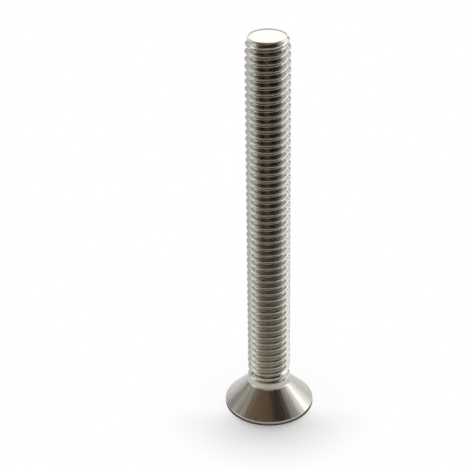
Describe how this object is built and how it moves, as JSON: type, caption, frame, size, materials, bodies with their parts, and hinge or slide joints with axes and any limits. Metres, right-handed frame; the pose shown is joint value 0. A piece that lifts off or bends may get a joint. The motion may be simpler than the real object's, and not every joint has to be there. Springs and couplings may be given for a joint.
{
  "type": "countersunk socket screw",
  "caption": "Countersunk hexagon socket screw in stainless steel, threaded up to the neck, standing on its flat head.",
  "frame": {"origin": "centre of the head's flat face, which the screw stands on", "axes": "+Z along the screw's axis from the head to the tip; two flats of the socket face +X and -X"},
  "size_m": [0.0122, 0.0122, 0.055],
  "materials": {
    "stainless": "bright rolled and turned stainless steel, satin on the head's face"
  },
  "bodies": {
    "root": {"countersunk_screw": "stainless"}
  },
  "joints": []
}
